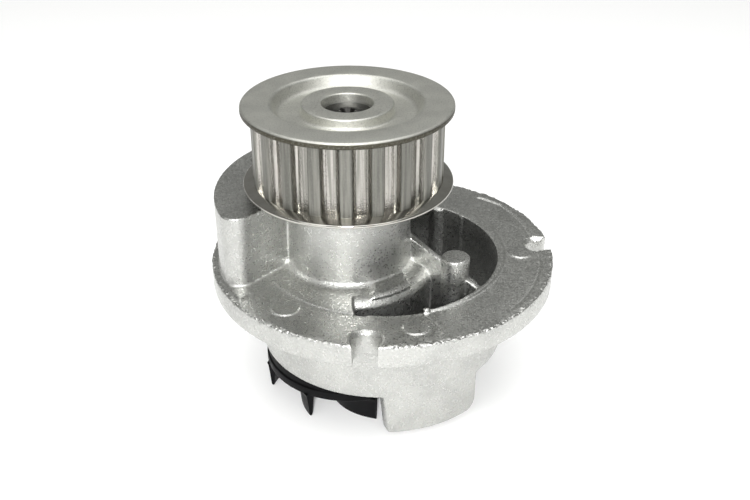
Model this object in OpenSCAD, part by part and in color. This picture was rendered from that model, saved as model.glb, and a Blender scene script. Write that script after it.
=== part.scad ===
// Engine coolant pump with an eccentric housing, driven by a toothed belt.
// Origin: spigot axis, on the flange's mounting face. +Z points to the pulley, -Y is the front.

/* [Mounting flange] */
// Outer diameter of the mounting flange
flange_d = 112.6; // [106:0.5:136]
// Thickness of the mounting flange
flange_t = 8; // [6:0.5:12]
// Diameter of the raised pad on top of the flange
pad_d = 80.6; // [72:0.2:90]
// Height of the raised pad above the flange
pad_h = 0.5; // [0.3:0.1:1.5]
// Width of each clamp notch in the rim
notch_w = 7.4; // [5:0.2:9]
// Radial depth of each clamp notch
notch_depth = 7.8; // [6:0.2:10]

/* [Spigot] */
// Diameter of the spigot that fits the engine block
spigot_d = 82.2; // [80:0.5:92]
// Length of the spigot below the mounting face
spigot_h = 22.2; // [21:0.5:30]
// Width of the sealing ring's groove
groove_w = 3.6; // [3.2:0.1:4]
// Depth of the sealing ring's groove
groove_depth = 2.6; // [2.4:0.1:3]

/* [Skirt] */
// Drop of the guide skirt below the spigot
skirt_drop = 14; // [8:0.2:18]
// Wall of the guide skirt
skirt_wall = 3.8; // [2.5:0.1:5]
// Width of the guide skirt across its chord
skirt_w = 33.2; // [20:0.2:40]

/* [Shaft place] */
// Distance from the spigot axis to the shaft axis
eccentricity = 12; // [9:0.1:12]
// Direction from the spigot axis to the shaft axis, degrees
eccentric_dir = 203.5; // [195:0.1:210]

/* [Pocket] */
// Diameter of the pocket's outer wall
pocket_d = 74.6; // [68:0.5:76]
// Radius of the pocket's inner wall about the shaft
pocket_inner_r = 27.5; // [26:0.5:29]
// Height of the pocket's floor above the spigot's end
pocket_floor = 8; // [7:0.5:12]
// Radius of the post that stands in the pocket
post_r = 4.4; // [3:0.1:5]
// Thickness of the web that crosses the pocket
web_t = 2.2; // [1.5:0.1:4]

/* [Neck and block] */
// Diameter of the neck that holds the bearing
neck_d = 39; // [37:0.5:41]
// Height of the neck above the mounting face
neck_top = 45; // [44:0.5:46]
// Height of the block above the mounting face
block_top = 32.1; // [20:0.2:34]

/* [Pulley] */
// Number of teeth on the pulley
teeth = 20; // [19:1:24]
// Pitch of the belt teeth
belt_pitch = 9.525; // [9.3:0.005:9.8]
// Length of the teeth
tooth_w = 22.4; // [20:0.2:28]
// Depth of the tooth spaces
tooth_depth = 2.5; // [1.8:0.1:3]
// Width of a tooth's flat land
land_w = 3.6; // [3:0.1:4.2]
// Height of the tooth ring above the mounting face
pulley_base = 38.1; // [37:0.1:39]
// Diameter of the pulley's upper flange
upper_flange_d = 65; // [63:0.5:80]
// Thickness of the pulley's upper flange
upper_flange_t = 2.1; // [1.5:0.1:3]
// Diameter of the pulley's pressed lower flange
lower_flange_d = 65.8; // [63:0.2:80]
// Thickness of the pulley's pressed lower flange
lower_flange_t = 1.1; // [0.8:0.1:1.5]

/* [Bearing] */
// Diameter of the shaft
shaft_d = 15.9; // [15.5:0.1:16.1]
// Outside diameter of the bearing's outer ring
bearing_d = 30; // [29:0.5:31]
// Length of the bearing's outer ring
bearing_l = 35; // [33:0.5:35]
// Diameter of the bearing balls
ball_d = 5.5; // [5:0.1:5.5]
// Number of balls in each row
balls = 9; // [7:1:9]

/* [Impeller] */
// Diameter of the impeller
impeller_d = 57.8; // [50:0.2:58]
// Number of impeller blades
blades = 8; // [6:1:9]
// Height of the blades below the impeller disc
blade_h = 8.6; // [6:0.2:11]
// Thickness of a blade
blade_t = 1.8; // [1.2:0.1:2.5]

/* [Clearances] */
// Radial clearance of the balls in their races
race_clearance = 0.05; // [0.02:0.01:0.1]
// Gap between the impeller and the spigot's end
impeller_gap = 0.5; // [0.3:0.1:1]
// Gap between the two faces of the shaft seal
face_gap = 0.03; // [0.02:0.01:0.1]
// Clearance of the bearing seals around the shaft
lip_clearance = 0.1; // [0.05:0.01:0.2]

/* [Hidden] */
$fn = 96;
// Overrun of a cut past the face that it opens
over = 1;

// Housing
flange_r = flange_d / 2;
spigot_r = spigot_d / 2;
pad_r = pad_d / 2;
deck = flange_t + pad_h;
shaft_x = eccentricity * cos(eccentric_dir);
shaft_y = eccentricity * sin(eccentric_dir);
neck_r = neck_d / 2;
notch_dirs = [-98.1, 1.5, 101.1];
notch_chamfer = 1.2;
notch_centre_r = flange_r - notch_depth + notch_w / 2;
groove_z = 0.5;
ejector_marks = [[-132, 46.4, 4.1], [-81, 47.2, 3.5], [-5.4, 45.8, 3.4]];
mark_h = 0.3;
rim_chamfer = 1;
foot_round = 4.2;

// Block: a curved outer wall and two flat end faces, the front one along [direction, distance]
block_r = 49.9;
block_centre = [-3.9, -0.9];
front_face = [-42.4, -17];
rear_dir = 28;
rear_face = [rear_dir, shaft_x * cos(rear_dir) + shaft_y * sin(rear_dir)];
block_corner_r = 5;
block_skirt = 3.8;
core_wall = 4.5;

// Pocket: a crescent between two eccentric circles, open at the top
pocket_r = pocket_d / 2;
pocket_centre = [0.5, -2.1];
pocket_z = pocket_floor - spigot_h;
pocket_half = 112.8;
pocket_mid = eccentric_dir - 180;
inner_round = 4;
ledge_chamfer = 1;
post_at = [21.9, -20.5];
post_top = 16.6;
web_start = [8.5, -7.8];
web_end = [30.2, -27.3];
web_rise = 17.6;
pilasters = [[54, 3], [37, 1.4]];

// Skirt
skirt_dir = -68.4;
skirt_round = 4;
skirt_z = -spigot_h - skirt_drop;

// Bearing
shaft_r = shaft_d / 2;
bearing_r = bearing_d / 2;
bearing_z = 9;
bearing_top = bearing_z + bearing_l;
ball_r = ball_d / 2;
race_r = ball_r + race_clearance;
inner_race_depth = 0.4;
outer_race_depth = 0.55;
ball_track_r = shaft_r - inner_race_depth + race_r;
bearing_bore_r = ball_track_r + race_r - outer_race_depth;
row_inset = 7.5;
lower_row_z = bearing_z + row_inset;
upper_row_z = bearing_top - row_inset;
bearing_seal_t = 1;
bearing_seal_inset = 0.6;
shaft_end_chamfer = 1;

// Pulley
pitch_r = teeth * belt_pitch / (2 * PI);
belt_line = 0.686;
land_r = pitch_r - belt_line;
pulley_top = pulley_base + tooth_w + upper_flange_t;
rim_bore_r = land_r - tooth_depth - 4.1;
recess_r = land_r - tooth_depth - 4.4;
recess_depth = 3.8;
web_thick = 6;
hub_boss_r = 14.3;
hub_drop = 0.6;
shaft_inset = 2.7;
shaft_top = pulley_top - hub_drop - shaft_inset;
hub_r = 13;
hub_clearance = 2;
hub_bottom = neck_top + hub_clearance;
seat_r = land_r - 2.6;
seat_h = 1.4;
dish_drop = 0.9;

// Seal chamber and shaft seal: every radius is counted from the shaft's
slinger_r = shaft_r + 3.45;
slinger_t = 1.4;
slinger_z = 2;
chamber_r = slinger_r + 1.4;
weep_r = 2;
weep_dir = 60;
weep_z = 3;
sleeve_t = 0.6;
sleeve_r = shaft_r + sleeve_t;
cup_t = 0.8;
cup_top = -7.2;
cup_hole_r = shaft_r + 2.55;
seal_bore_r = shaft_r + 10.25;
seal_flange_r = seal_bore_r + 2.2;
seal_flange_t = 0.8;
face_z = -spigot_h + 2;
face_outer_r = shaft_r + 4.65;
carbon_r = shaft_r + 5.85;
bellows_r = shaft_r + 3.05;
mating_t = 2.5;
mating_r = shaft_r + 6.05;
boot_t = 0.6;
boot_r = mating_r + 1.6;
boot_z = face_z - face_gap - mating_t - boot_t;
spring_wire_r = 0.45;
spring_r = shaft_r + 7.95;
plate_z = face_z + 4.5;
plate_t = 0.6;

// Impeller
impeller_r = impeller_d / 2;
impeller_lip_r = impeller_r - 0.6;
impeller_top = -spigot_h - impeller_gap;
disc_t = 3;
lip_h = 3.5;
lip_w = 3;
disc_top = impeller_top - lip_h;
disc_bottom = disc_top - disc_t;
impeller_hub_r = boot_r + 1.9;
bush_r = shaft_r + 1.95;
impeller_boss_r = bush_r + 2.6;
boss_bottom = disc_bottom - 5.2;
shaft_bottom = boss_bottom + 1;
blade_inner_r = 12;
blade_outer_r = impeller_r - 0.7;
blade_phase = -74.4;
blade_path = [for (p = [[blade_outer_r, 0], [20.7, -24], [11, -62]]) p[0] * [cos(p[1]), sin(p[1])]];

module at_shaft() {
    translate([shaft_x, shaft_y, 0])
        children();
}

// Plain tube between two heights
module tube(outer, inner, low, high) {
    translate([0, 0, low])
        difference() {
            cylinder(r = outer, h = high - low);
            translate([0, 0, -over])
                cylinder(r = inner, h = high - low + 2 * over);
        }
}

// Flat wedge from the origin, between two directions
module wedge(from, to, reach) {
    steps = 6;
    polygon(concat([[0, 0]], [for (i = [0:steps]) let (a = from + (to - from) * i / steps)
                              reach * [cos(a), sin(a)]]));
}

// Half plane on the inner side of a face given as [direction, distance]
module behind_face(face) {
    reach = 200;
    rotate(face[0])
        translate([face[1] - 2 * reach, -reach])
            square(2 * reach);
}

// Centre of the round where a face meets the block's outer wall; side is 1 or -1
function corner_centre(face, radius, side) =
    let (n = [cos(face[0]), sin(face[0])],
         u = side * [-n[1], n[0]],
         along_n = face[1] - radius - n * block_centre,
         reach = block_r - radius)
    block_centre + n * along_n + u * sqrt(reach * reach - along_n * along_n);

// Takes the sharp corner off the block's outline and puts the round in
module rounded_corner(face, radius, side) {
    c = corner_centre(face, radius, side);
    on_face = radius * [cos(face[0]), sin(face[0])];
    outward = (c - block_centre) / norm(c - block_centre);
    on_wall = radius * outward;
    difference() {
        children();
        polygon([c, c + on_face, c + 3 * (on_face + on_wall), c + on_wall]);
    }
    translate(c)
        circle(r = radius);
}

module block_plan() {
    rounded_corner(front_face, block_corner_r, -1)
        rounded_corner(rear_face, block_corner_r, 1)
            intersection() {
                translate(block_centre)
                    circle(r = block_r);
                behind_face(front_face);
                behind_face(rear_face);
            }
}

// Raised area around the neck and along the block's front face
module pad_plan() {
    circle(r = pad_r);
    intersection() {
        circle(r = flange_r - 2.2);
        behind_face([front_face[0], front_face[1] + block_skirt]);
        behind_face(rear_face);
    }
}

// Lightening core at the back of the block
module block_core() {
    translate([0, 0, deck + 4])
        linear_extrude(block_top)
            difference() {
                intersection() {
                    translate(block_centre)
                        circle(r = block_r - core_wall);
                    translate([shaft_x, shaft_y])
                        wedge(rear_dir + 90 + 8, rear_dir + 90 + 24, 80);
                }
                translate([shaft_x, shaft_y])
                    circle(r = neck_r + core_wall);
            }
}

module pocket_sector(reach) {
    translate([shaft_x, shaft_y])
        wedge_ring(pocket_mid - pocket_half, pocket_mid + pocket_half, reach);
}

// Wide sector as two wedges, since it spans more than half a turn
module wedge_ring(from, to, reach) {
    middle = (from + to) / 2;
    wedge(from, middle + 1, reach);
    wedge(middle - 1, to, reach);
}

module pocket_plan() {
    intersection() {
        difference() {
            translate(pocket_centre)
                circle(r = pocket_r);
            translate([shaft_x, shaft_y])
                circle(r = pocket_inner_r);
        }
        pocket_sector(90);
    }
}

// Ring that rounds the pocket's inner edge, started just inside the round's tangent points
module inner_edge_round() {
    start = 0.27 * inner_round;
    rotate_extrude()
        translate([pocket_inner_r - inner_round, deck - inner_round])
            difference() {
                translate([start, start])
                    square(inner_round + over - start);
                circle(r = inner_round);
            }
}

// Pocket with its rounded inner edge and the sloped ledge along its outer edge
module pocket_cut() {
    translate([0, 0, pocket_z])
        linear_extrude(deck - pocket_z + over)
            pocket_plan();
    intersection() {
        at_shaft()
            inner_edge_round();
        linear_extrude(2 * deck)
            pocket_sector(90);
    }
    intersection() {
        translate([pocket_centre[0], pocket_centre[1], flange_t - ledge_chamfer])
            cylinder(r1 = pocket_r, r2 = pocket_r + 2 * ledge_chamfer + 2, h = 2 * ledge_chamfer);
        linear_extrude(2 * deck)
            intersection() {
                wedge(-105, -75, 90);
                difference() {
                    circle(r = flange_r);
                    translate([shaft_x, shaft_y])
                        circle(r = pocket_inner_r);
                }
            }
    }
}

// Sloping web from the neck, through the post, to the pocket's outer wall
module pocket_web() {
    run = web_end - web_start;
    length = norm(run);
    translate([web_start[0], web_start[1], 0])
        rotate([90, 0, atan2(run[1], run[0])])
            translate([0, 0, -web_t / 2])
                linear_extrude(web_t)
                    polygon([[-6, pocket_z - over], [length, pocket_z - over],
                             [length, flange_t - 0.5], [0, web_rise], [-6, web_rise]]);
}

module pocket_post() {
    translate([post_at[0], post_at[1], pocket_z - over])
        cylinder(r = post_r, h = post_top - pocket_z + over);
}

// Half-round ribs on the pocket's outer wall
module pocket_pilasters() {
    for (p = pilasters)
        translate([pocket_r * cos(p[0]), pocket_r * sin(p[0]), pocket_z - over])
            cylinder(r = p[1], h = flange_t - pocket_z + over);
}

// Guide skirt: the spigot's wall carried on downwards over part of its round
module guide_skirt() {
    intersection() {
        tube(spigot_r, spigot_r - skirt_wall, skirt_z, -spigot_h + over);
        rotate([0, 0, skirt_dir])
            rotate([90, 0, 90])
                linear_extrude(spigot_r + over)
                    skirt_face();
    }
}

// Outline of the skirt seen from outside, with one rounded lower corner and one drawn-in edge
module skirt_face() {
    half = skirt_w / 2;
    draw_in = 1.6;
    start = 0.27 * skirt_round;
    difference() {
        polygon([[-half + draw_in, skirt_z - over], [half, skirt_z - over],
                 [half, over - spigot_h], [-half, over - spigot_h]]);
        translate([half - skirt_round, skirt_z + skirt_round])
            difference() {
                translate([start, -skirt_round - 2 * over])
                    square(skirt_round + 2 * over - start);
                circle(r = skirt_round);
            }
    }
}

module clamp_notches() {
    for (a = notch_dirs)
        rotate(a)
            translate([notch_centre_r, 0, 0]) {
                translate([0, 0, -over])
                    cylinder(d = notch_w, h = deck + 2 * over);
                translate([0, 0, flange_t - notch_chamfer])
                    cylinder(d1 = notch_w, d2 = notch_w + 4 * notch_chamfer, h = 2 * notch_chamfer);
                translate([0, -notch_w / 2, -over])
                    cube([2 * notch_w, notch_w, deck + 2 * over]);
            }
}

module ejector_discs() {
    for (m = ejector_marks)
        translate([m[1] * cos(m[0]), m[1] * sin(m[0]), flange_t - over])
            cylinder(r = m[2], h = mark_h + over);
}

// Hollow round at the neck's foot, which meets the deck in a crisp edge
module neck_foot() {
    rotate_extrude()
        difference() {
            translate([neck_r - over, deck - 0.5])
                square([over + 0.76 * foot_round, 0.5 + 0.71 * foot_round]);
            translate([neck_r + 0.98 * foot_round, deck + 0.92 * foot_round])
                circle(r = foot_round);
        }
}

// Bores on the shaft axis: bearing, drain chamber, seal cup and its seat, and the weep hole
module housing_bores() {
    at_shaft() {
        translate([0, 0, bearing_z])
            cylinder(r = bearing_r, h = neck_top - bearing_z + over);
        translate([0, 0, cup_top - 0.5])
            cylinder(r = chamber_r, h = bearing_z - cup_top + 1);
        translate([0, 0, -spigot_h - over])
            cylinder(r = seal_bore_r, h = cup_top + spigot_h + over);
        translate([0, 0, -spigot_h - over])
            cylinder(r = seal_flange_r + 0.2, h = over + 0.2 + seal_flange_t);
        translate([0, 0, weep_z])
            rotate([0, 90, weep_dir])
                cylinder(r = weep_r, h = pocket_inner_r + 2 * over);
    }
}

// Shallow core around the seal boss, open at the spigot's end
module spigot_recess() {
    translate([0, 0, -spigot_h - over])
        linear_extrude(4 + over)
            difference() {
                circle(r = spigot_r - skirt_wall - 0.9);
                translate([shaft_x, shaft_y])
                    circle(r = seal_bore_r + 6.3);
                rotate(skirt_dir)
                    translate([spigot_r - skirt_wall - 1.5, -skirt_w / 2 - 1])
                        square([10, skirt_w + 2]);
            }
}

module pump_housing() {
    color("silver")
        difference() {
            union() {
                difference() {
                    union() {
                        translate([0, 0, rim_chamfer])
                            cylinder(r = flange_r, h = flange_t - rim_chamfer);
                        cylinder(r1 = flange_r - rim_chamfer, r2 = flange_r, h = rim_chamfer);
                        translate([0, 0, -spigot_h])
                            cylinder(r = spigot_r, h = spigot_h + over);
                        linear_extrude(deck)
                            pad_plan();
                        ejector_discs();
                    }
                    pocket_cut();
                }
                translate([0, 0, over])
                    linear_extrude(block_top - over)
                        block_plan();
                at_shaft() {
                    translate([0, 0, over])
                        cylinder(r1 = neck_r + 0.5, r2 = neck_r, h = neck_top - over);
                    neck_foot();
                }
                pocket_web();
                pocket_post();
                pocket_pilasters();
                guide_skirt();
            }
            translate([0, 0, -groove_z - groove_w])
                difference() {
                    cylinder(r = spigot_r + over, h = groove_w);
                    cylinder(r = spigot_r - groove_depth, h = groove_w);
                }
            housing_bores();
            clamp_notches();
            block_core();
            spigot_recess();
        }
}

module housing_o_ring() {
    squeeze = 0.02;
    section_r = (groove_depth - squeeze) / 2;
    color("dimgray")
        translate([0, 0, -groove_z - groove_w / 2])
            rotate_extrude()
                translate([spigot_r - groove_depth + section_r, 0])
                    circle(r = section_r, $fn = 32);
}

// Groove that the balls of one row run in
module race_groove(height) {
    translate([0, 0, height])
        rotate_extrude()
            translate([ball_track_r, 0])
                circle(r = race_r, $fn = 48);
}

module bearing_outer_ring() {
    color("lightsteelblue")
        at_shaft()
            difference() {
                tube(bearing_r, bearing_bore_r, bearing_z, bearing_top);
                race_groove(lower_row_z);
                race_groove(upper_row_z);
            }
}

module bearing_seal(height) {
    color("black")
        at_shaft()
            tube(bearing_bore_r, shaft_r + lip_clearance, height, height + bearing_seal_t);
}

module ball_row(height) {
    color("gainsboro")
        at_shaft()
            for (i = [0:balls - 1])
                rotate(360 / balls * i)
                    translate([ball_track_r, 0, height])
                        sphere(r = ball_r, $fn = 32);
}

module ball_cage(height) {
    cage_half = 2.2;
    pocket_clearance = 0.15;
    color("olive")
        at_shaft()
            difference() {
                tube(ball_track_r + 1.2, ball_track_r - 1.2, height - cage_half, height + cage_half + 1);
                for (i = [0:balls - 1])
                    rotate(360 / balls * i)
                        translate([ball_track_r, 0, height])
                            sphere(r = ball_r + pocket_clearance, $fn = 32);
            }
}

module pump_shaft() {
    centre_r = 2.6;
    color("lightsteelblue")
        at_shaft()
            difference() {
                union() {
                    translate([0, 0, shaft_bottom])
                        cylinder(r = shaft_r, h = shaft_top - shaft_bottom - shaft_end_chamfer);
                    translate([0, 0, shaft_top - shaft_end_chamfer])
                        cylinder(r1 = shaft_r, r2 = shaft_r - shaft_end_chamfer, h = shaft_end_chamfer);
                }
                race_groove(lower_row_z);
                race_groove(upper_row_z);
                translate([0, 0, shaft_top - centre_r])
                    cylinder(r1 = 0.8, r2 = centre_r + 1, h = centre_r + 0.6);
            }
}

// Outline of the tooth ring: a round with one tapered space per tooth
module tooth_plan() {
    space_w = 2 * PI * land_r / teeth - land_w;
    root_w = space_w * 0.66;
    difference() {
        circle(r = land_r);
        for (i = [0:teeth - 1])
            rotate(360 / teeth * (i + 0.5) - 92.3)
                polygon([[land_r - tooth_depth, -root_w / 2], [land_r - tooth_depth, root_w / 2],
                         [land_r + 0.6, space_w / 2 + 0.2], [land_r + 0.6, -space_w / 2 - 0.2]]);
    }
}

module toothed_pulley() {
    edge = 0.5;
    web_bottom = pulley_top - recess_depth - web_thick;
    color("darkgray")
        at_shaft()
            difference() {
                union() {
                    translate([0, 0, pulley_base])
                        linear_extrude(tooth_w)
                            tooth_plan();
                    translate([0, 0, pulley_base - seat_h])
                        cylinder(r = seat_r, h = seat_h + over);
                    translate([0, 0, pulley_top - upper_flange_t])
                        cylinder(d = upper_flange_d, h = upper_flange_t - edge);
                    translate([0, 0, pulley_top - edge])
                        cylinder(r1 = upper_flange_d / 2, r2 = upper_flange_d / 2 - edge, h = edge);
                }
                difference() {
                    translate([0, 0, pulley_top - recess_depth])
                        cylinder(r = recess_r, h = recess_depth + over);
                    cylinder(r = hub_boss_r, h = pulley_top - hub_drop);
                }
                difference() {
                    translate([0, 0, hub_bottom - 20])
                        cylinder(r = rim_bore_r, h = web_bottom - hub_bottom + 20);
                    translate([0, 0, hub_bottom])
                        cylinder(r = hub_r, h = 20);
                }
                translate([0, 0, pulley_base - 2 * seat_h])
                    cylinder(r = shaft_r, h = pulley_top);
                translate([0, 0, pulley_top - hub_drop - edge])
                    cylinder(r1 = shaft_r, r2 = shaft_r + 2 * edge, h = 2 * edge);
            }
}

// Pressed flange with a dished lip, seated under the teeth
module pulley_lower_flange() {
    lip_r = lower_flange_d / 2;
    knee_r = land_r + 0.2;
    color("lightgray")
        at_shaft()
            translate([0, 0, pulley_base])
                rotate_extrude()
                    polygon([[seat_r, 0], [knee_r, 0], [lip_r, -dish_drop],
                             [lip_r, -dish_drop - lower_flange_t], [knee_r - 0.3, -lower_flange_t],
                             [seat_r, -lower_flange_t]]);
}

module slinger_ring() {
    color("dimgray")
        at_shaft()
            tube(slinger_r, shaft_r, slinger_z, slinger_z + slinger_t);
}

module seal_cup() {
    inner_r = seal_bore_r - cup_t;
    rim_z = -spigot_h + 0.2;
    color("khaki")
        at_shaft()
            rotate_extrude()
                polygon([[inner_r, rim_z], [seal_flange_r, rim_z],
                         [seal_flange_r, rim_z + seal_flange_t], [seal_bore_r, rim_z + seal_flange_t],
                         [seal_bore_r, cup_top], [cup_hole_r, cup_top],
                         [cup_hole_r, cup_top - cup_t], [inner_r, cup_top - cup_t]]);
}

// Rubber bellows: a foot under the cup's end, one fold, and a socket for the carbon ring
module seal_bellows() {
    foot = cup_top - cup_t;
    foot_t = 1.2;
    foot_r = seal_bore_r - 1;
    wall_r = bellows_r + 1.6;
    socket_r = carbon_r + 1.4;
    fold_r = wall_r + 1.6;
    fold_inner_r = bellows_r + 1.4;
    fold = (foot - foot_t + plate_z) / 2;
    color("black")
        at_shaft()
            rotate_extrude()
                polygon([[bellows_r, foot], [foot_r, foot], [foot_r, foot - foot_t],
                         [wall_r, foot - foot_t], [wall_r, fold + 1.1], [fold_r, fold],
                         [wall_r, fold - 1.1], [wall_r, plate_z], [socket_r, plate_z],
                         [socket_r, face_z + 1.5], [carbon_r, face_z + 1.5],
                         [carbon_r, face_z + 3.3], [bellows_r, face_z + 3.3],
                         [bellows_r, fold - 1.2], [fold_inner_r, fold], [bellows_r, fold + 1.2]]);
}

module seal_spring_plate() {
    color("silver")
        at_shaft()
            tube(seal_bore_r - 1.4, face_outer_r + 0.1, plate_z, plate_z + plate_t);
}

module seal_carbon_ring() {
    bore_r = shaft_r + 2.05;
    color("dimgray")
        at_shaft()
            rotate_extrude()
                polygon([[bore_r, face_z + 3.3], [carbon_r, face_z + 3.3], [carbon_r, face_z + 0.8],
                         [face_outer_r, face_z + 0.8], [face_outer_r, face_z],
                         [bore_r + 0.6, face_z], [bore_r, face_z + 0.6]]);
}

// Round wire wound around the shaft axis between two heights
module coil(mean_r, wire_r, low, high, turns) {
    sides = 8;
    steps = 28 * turns;
    function ring(i) = let (a = 360 * turns * i / steps, z = low + (high - low) * i / steps)
        [for (k = [0:sides - 1]) let (b = 360 / sides * k, r = mean_r + wire_r * cos(b))
            [r * cos(a), r * sin(a), z + wire_r * sin(b)]];
    points = [for (i = [0:steps]) each ring(i)];
    function quad(i, k) = let (a = i * sides + k, b = i * sides + (k + 1) % sides)
        [[a, b, b + sides], [a, b + sides, a + sides]];
    start = [[for (k = [0:sides - 1]) sides - 1 - k]];
    end = [[for (k = [0:sides - 1]) steps * sides + k]];
    sides_faces = [for (i = [0:steps - 1]) for (k = [0:sides - 1]) each quad(i, k)];
    polyhedron(points, concat(start, end, sides_faces));
}

module seal_spring() {
    low = plate_z + plate_t + spring_wire_r;
    high = cup_top - cup_t - 1.2 - spring_wire_r;
    color("silver")
        at_shaft()
            coil(spring_r, spring_wire_r, low, high, 3);
}

module seal_mating_ring() {
    top = face_z - face_gap;
    bore_r = sleeve_r + 1.05;
    color("whitesmoke")
        at_shaft()
            tube(mating_r, bore_r, top - mating_t, top);
}

module mating_ring_boot() {
    lip = 2;
    bore_r = sleeve_r + 0.65;
    color("black")
        at_shaft() {
            tube(boot_r, bore_r, boot_z, boot_z + boot_t);
            tube(boot_r, mating_r, boot_z + boot_t / 2, boot_z + boot_t + lip);
        }
}

module seal_sleeve() {
    color("goldenrod")
        at_shaft()
            tube(sleeve_r, shaft_r, boot_z, cup_top - 0.5);
}

module impeller_bush() {
    color("gray")
        at_shaft()
            tube(bush_r, shaft_r, boss_bottom, boot_z);
}

// Centre of the round through three points
function round_centre(p, q, r) =
    let (a = 2 * (q - p), b = 2 * (r - p), c = q * q - p * p, d = r * r - p * p,
         det = a[0] * b[1] - a[1] * b[0])
    [c * b[1] - d * a[1], a[0] * d - b[0] * c] / det;

// Plan of one backswept blade, whose tip lies at direction 0
module blade_plan() {
    c = round_centre(blade_path[0], blade_path[1], blade_path[2]);
    bend_r = norm(blade_path[0] - c);
    intersection() {
        difference() {
            translate(c)
                circle(r = bend_r + blade_t / 2);
            translate(c)
                circle(r = bend_r - blade_t / 2);
        }
        difference() {
            circle(r = blade_outer_r);
            circle(r = blade_inner_r);
        }
        wedge(-75, 20, 60);
    }
}

module impeller() {
    color("#18191b")
        at_shaft()
            difference() {
                union() {
                    tube(impeller_r, bush_r, disc_bottom, disc_top);
                    tube(impeller_lip_r, impeller_lip_r - lip_w, disc_top - over, impeller_top);
                    tube(impeller_hub_r, bush_r, disc_top - over, boot_z + 1);
                    tube(impeller_boss_r, bush_r, boss_bottom, disc_bottom + over);
                    translate([0, 0, disc_bottom - blade_h])
                        linear_extrude(blade_h + over)
                            for (i = [0:blades - 1])
                                rotate(blade_phase + 360 / blades * i)
                                    blade_plan();
                }
                translate([0, 0, boot_z])
                    cylinder(r = boot_r, h = 2 * over);
            }
}

pump_housing();
housing_o_ring();
bearing_outer_ring();
bearing_seal(bearing_top - bearing_seal_inset - bearing_seal_t);  // upper_bearing_seal
bearing_seal(bearing_z + bearing_seal_inset);  // lower_bearing_seal
ball_row(upper_row_z);  // upper_ball_row
ball_cage(upper_row_z);  // upper_ball_cage
ball_row(lower_row_z);  // lower_ball_row
ball_cage(lower_row_z);  // lower_ball_cage
pump_shaft();
toothed_pulley();
pulley_lower_flange();
slinger_ring();
seal_cup();
seal_bellows();
seal_spring();
seal_spring_plate();
seal_carbon_ring();
seal_mating_ring();
mating_ring_boot();
seal_sleeve();
impeller_bush();
impeller();
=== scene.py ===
"""Looks of an engine coolant pump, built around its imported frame.

Lengths are in millimetres in the dataclasses and in metres in every mesh. The frame's origin is the
spigot axis on the flange's mounting face, +Z points to the pulley and -Y is the front.
"""
import logging
import math
from dataclasses import dataclass
from enum import Enum
from typing import Sequence

import bmesh
import bpy
import numpy as np
from mathutils import Matrix, Vector
from mathutils.kdtree import KDTree


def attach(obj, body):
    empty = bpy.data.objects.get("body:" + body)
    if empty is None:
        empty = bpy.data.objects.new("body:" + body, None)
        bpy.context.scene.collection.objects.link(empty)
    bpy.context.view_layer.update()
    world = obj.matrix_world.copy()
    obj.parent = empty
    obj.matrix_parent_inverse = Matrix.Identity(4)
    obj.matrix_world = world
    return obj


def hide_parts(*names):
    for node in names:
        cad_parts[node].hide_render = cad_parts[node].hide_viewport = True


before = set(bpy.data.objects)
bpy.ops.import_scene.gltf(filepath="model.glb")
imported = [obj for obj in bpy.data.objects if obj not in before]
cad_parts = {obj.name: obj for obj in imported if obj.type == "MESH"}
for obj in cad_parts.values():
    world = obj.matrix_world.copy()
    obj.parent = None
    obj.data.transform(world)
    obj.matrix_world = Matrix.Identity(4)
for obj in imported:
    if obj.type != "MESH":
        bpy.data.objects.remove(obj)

LOG = logging.getLogger("pump")
MM = 0.001
SHAFT = (-11.005, -4.785)
SHAFT_R = 7.95
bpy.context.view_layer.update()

LATTICE_PRIMES = (73856093, 19349663, 83492791)
MIX_COLOUR_INPUTS = (6, 7)
MIX_COLOUR_OUTPUT = 2
RING_SHARP = 40.0
AXIS_GAP = 0.02

Point2 = tuple[float, float]
Triple = tuple[float, float, float]
Colour = Triple
Socket = bpy.types.NodeSocket
Node = bpy.types.Node
Material = bpy.types.Material
Mesh = bpy.types.Mesh
Object = bpy.types.Object


class Slot(Enum):
    """Names of material slots."""

    ALUMINIUM = "cast_aluminium"
    SHAFT = "shaft_steel"
    SINTERED = "sintered_steel"
    FLANGE = "flange_steel"
    IMPELLER = "impeller_plastic"


class Body(Enum):
    """Bodies that move together."""

    HOUSING = "housing"
    ROTOR = "rotor"


# Material graphs


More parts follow.
